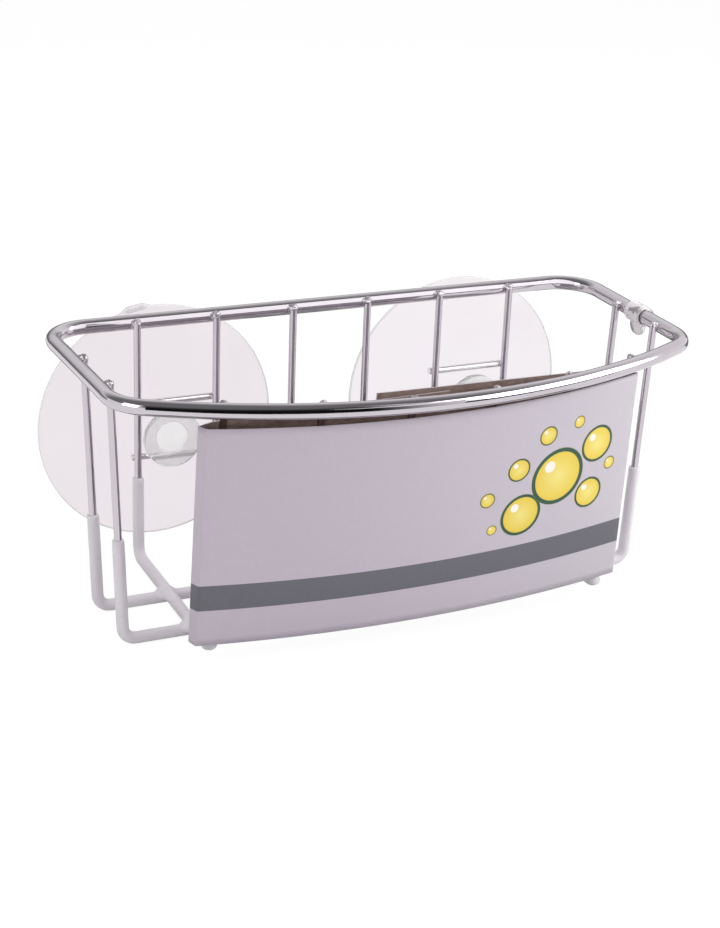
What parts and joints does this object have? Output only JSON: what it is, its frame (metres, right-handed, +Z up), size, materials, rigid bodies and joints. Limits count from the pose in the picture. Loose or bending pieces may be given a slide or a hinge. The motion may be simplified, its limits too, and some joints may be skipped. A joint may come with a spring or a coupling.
{
  "type": "sponge holder",
  "caption": "Chromed wire sponge caddy with a bowed front, white dip-coated base, clear suction cups at the back and a printed card sleeve round the front.",
  "frame": {"origin": "on the surface that the caddy stands on, in the middle of its length and depth", "axes": "+X to the right along the length, +Y to the wall behind, +Z up"},
  "size_m": [0.1656, 0.0958, 0.0733],
  "materials": {
    "chrome_wire": "bright chrome plate on steel wire",
    "white_dip_coat": "satin white dipped plastic",
    "clear_cup": "clear soft plastic",
    "printed_card": "smooth printed card, brown inside",
    "clear_tag": "clear flexible plastic"
  },
  "bodies": {
    "basket": {"rim_wire": "chrome_wire", "cross_wire_1": "chrome_wire", "cross_wire_2": "chrome_wire", "cross_wire_3": "chrome_wire", "cross_wire_4": "chrome_wire", "cross_wire_5": "chrome_wire", "cross_wire_6": "chrome_wire", "long_wire_back": "chrome_wire", "long_wire_front": "chrome_wire", "cup_bar_left_upper": "chrome_wire", "cup_bar_left_lower": "chrome_wire", "cup_bar_right_upper": "chrome_wire", "cup_bar_right_lower": "chrome_wire", "dip_coat": "white_dip_coat"},
    "left_cup": {"suction_cup_left": "clear_cup"},
    "right_cup": {"suction_cup_right": "clear_cup"},
    "card": {"card_sleeve": "printed_card"},
    "tag": {"rim_tag": "clear_tag"}
  },
  "joints": [
    {"name": "left_cup_spin", "type": "hinge", "parent": "basket", "child": "left_cup", "pos_m": [-0.0464, 0.0479, 0.03755], "axis": [0, 1, 0], "continuous": true},
    {"name": "right_cup_spin", "type": "hinge", "parent": "basket", "child": "right_cup", "pos_m": [0.0464, 0.0479, 0.03755], "axis": [0, 1, 0], "continuous": true},
    {"name": "card_lift", "type": "slide", "parent": "basket", "child": "card", "axis": [0, -0.1312, 0.9914], "range_m": [0, 0.0008]},
    {"name": "tag_swing", "type": "hinge", "parent": "basket", "child": "tag", "pos_m": [0.08009, 0.0024, 0.0705], "axis": [0.0233, 0.9997, 0], "continuous": true}
  ]
}
